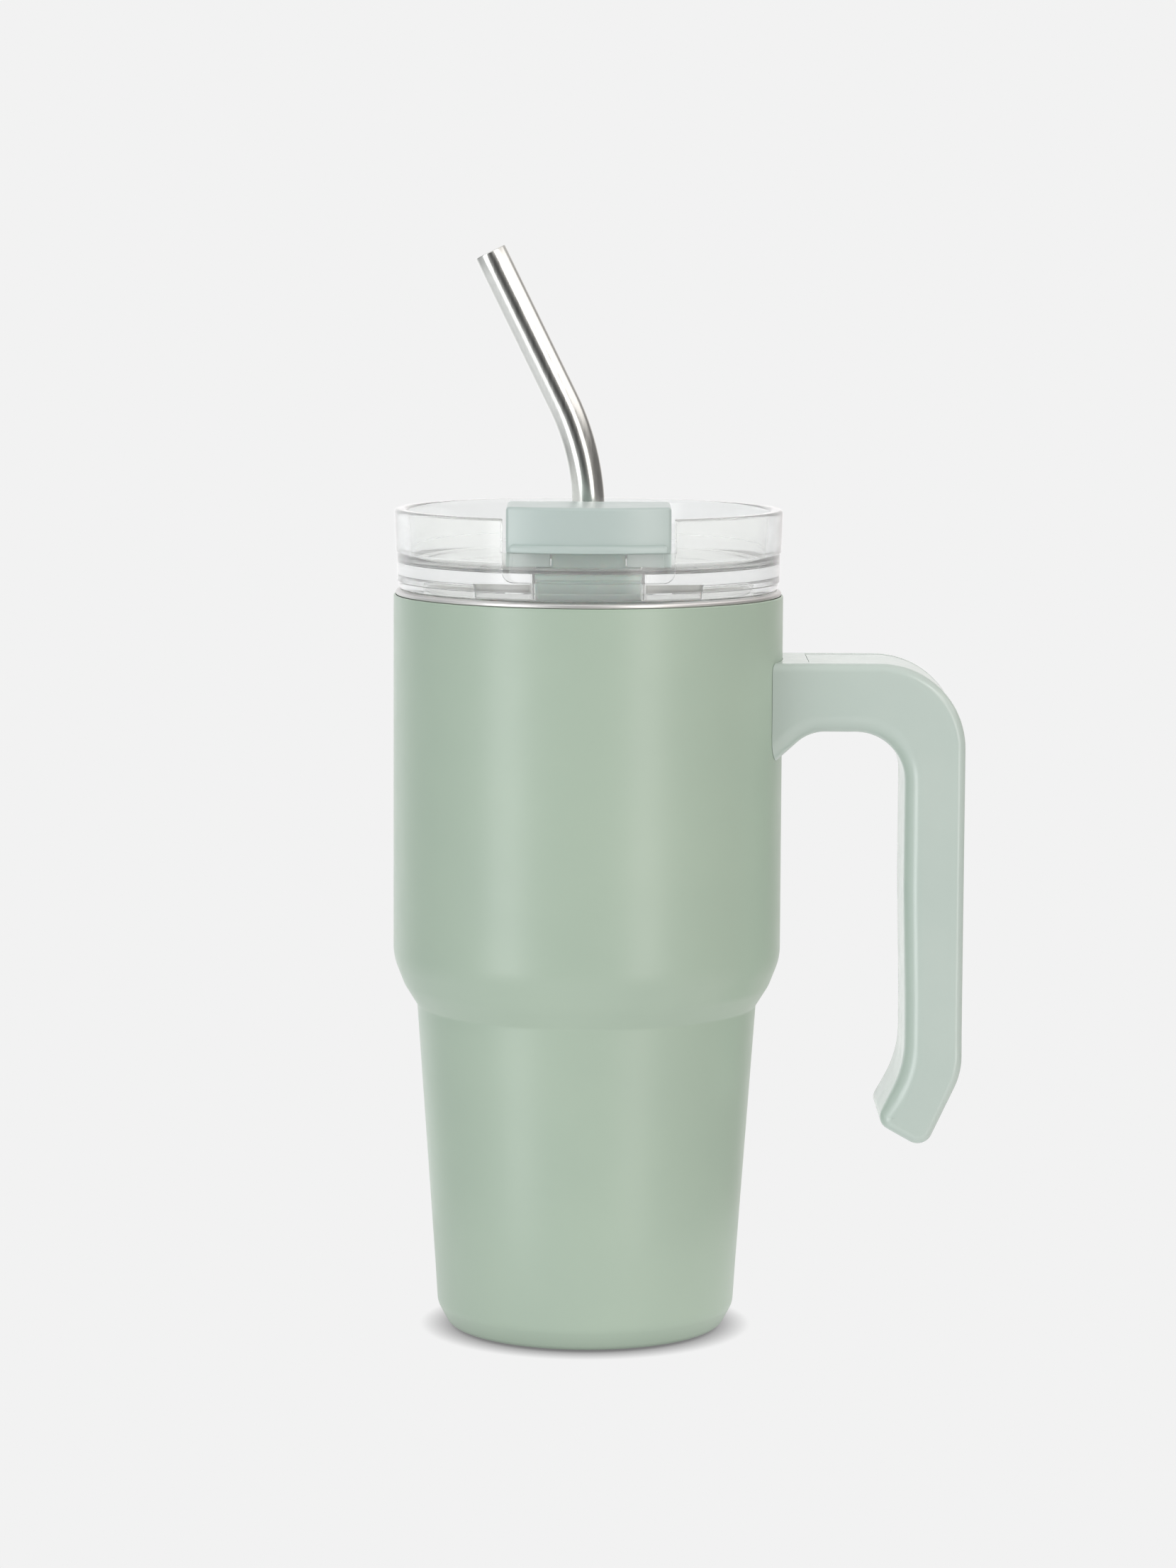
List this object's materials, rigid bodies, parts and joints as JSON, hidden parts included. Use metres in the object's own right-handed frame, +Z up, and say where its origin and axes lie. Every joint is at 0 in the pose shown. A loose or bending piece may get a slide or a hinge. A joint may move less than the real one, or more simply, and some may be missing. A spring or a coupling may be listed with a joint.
{
  "type": "insulated travel mug",
  "caption": "Double-walled steel travel mug with a stepped, tapered body, an open J-shaped side handle, a clear press-in lid with a flip cap, and a bent steel straw.",
  "frame": {"origin": "centre of the base pad's underside, on the surface the mug stands on", "axes": "+Z up the mug's axis, +X towards the handle, -Y towards the side that is drunk from"},
  "size_m": [0.1404, 0.0966, 0.2687],
  "materials": {
    "body_paint": "satin sage powder coat with a fine texture",
    "bare_steel": "brushed stainless steel",
    "straw_steel": "fine polished stainless steel",
    "sage_plastic": "satin moulded plastic",
    "cap_plastic": "satin moulded plastic, slightly translucent",
    "plug_silicone": "matte silicone",
    "clear_plastic": "clear, polished",
    "seal_silicone": "translucent white silicone",
    "pad_silicone": "matte non-slip silicone",
    "seal_glass": "fused solder bead",
    "getter_metal": "sintered metal",
    "copper_foil": "thin rolled foil"
  },
  "bodies": {
    "mug": {"outer_shell": "body_paint", "outer_bottom": "bare_steel", "vacuum_seal": "seal_glass", "getter": "getter_metal", "radiation_foil": "copper_foil", "inner_liner": "bare_steel", "base_pad": "pad_silicone", "handle_bracket": "bare_steel", "handle_frame": "sage_plastic", "handle_cover": "sage_plastic", "bracket_nut_inner": "bare_steel", "bracket_nut_outer": "bare_steel", "handle_screw_inner": "bare_steel", "handle_screw_outer": "bare_steel"},
    "gasket": {"lid_gasket": "seal_silicone"},
    "lid": {"lid_body": "clear_plastic", "hinge_pin": "bare_steel"},
    "flip_cap": {"flip_tab": "cap_plastic", "flip_plug": "plug_silicone"},
    "grommet": {"straw_grommet": "seal_silicone"},
    "straw": {"straw": "straw_steel"}
  },
  "joints": [
    {"name": "lid_lift", "type": "slide", "parent": "mug", "child": "gasket", "axis": [0, 0, 1], "range_m": [0, 0.18]},
    {"name": "lid_turn", "type": "hinge", "parent": "gasket", "child": "lid", "pos_m": [0, 0, 0.1847], "axis": [0, 0, 1], "continuous": true},
    {"name": "flip_open", "type": "hinge", "parent": "lid", "child": "flip_cap", "pos_m": [0, -0.022, 0.1938], "axis": [-1, 0, 0], "range_deg": [0, 90]},
    {"name": "straw_turn", "type": "hinge", "parent": "lid", "child": "grommet", "pos_m": [0, 0, 0.1908], "axis": [0, 0, 1], "continuous": true},
    {"name": "straw_pull", "type": "slide", "parent": "grommet", "child": "straw", "axis": [0, 0, 1], "range_m": [0, 0.18]}
  ]
}
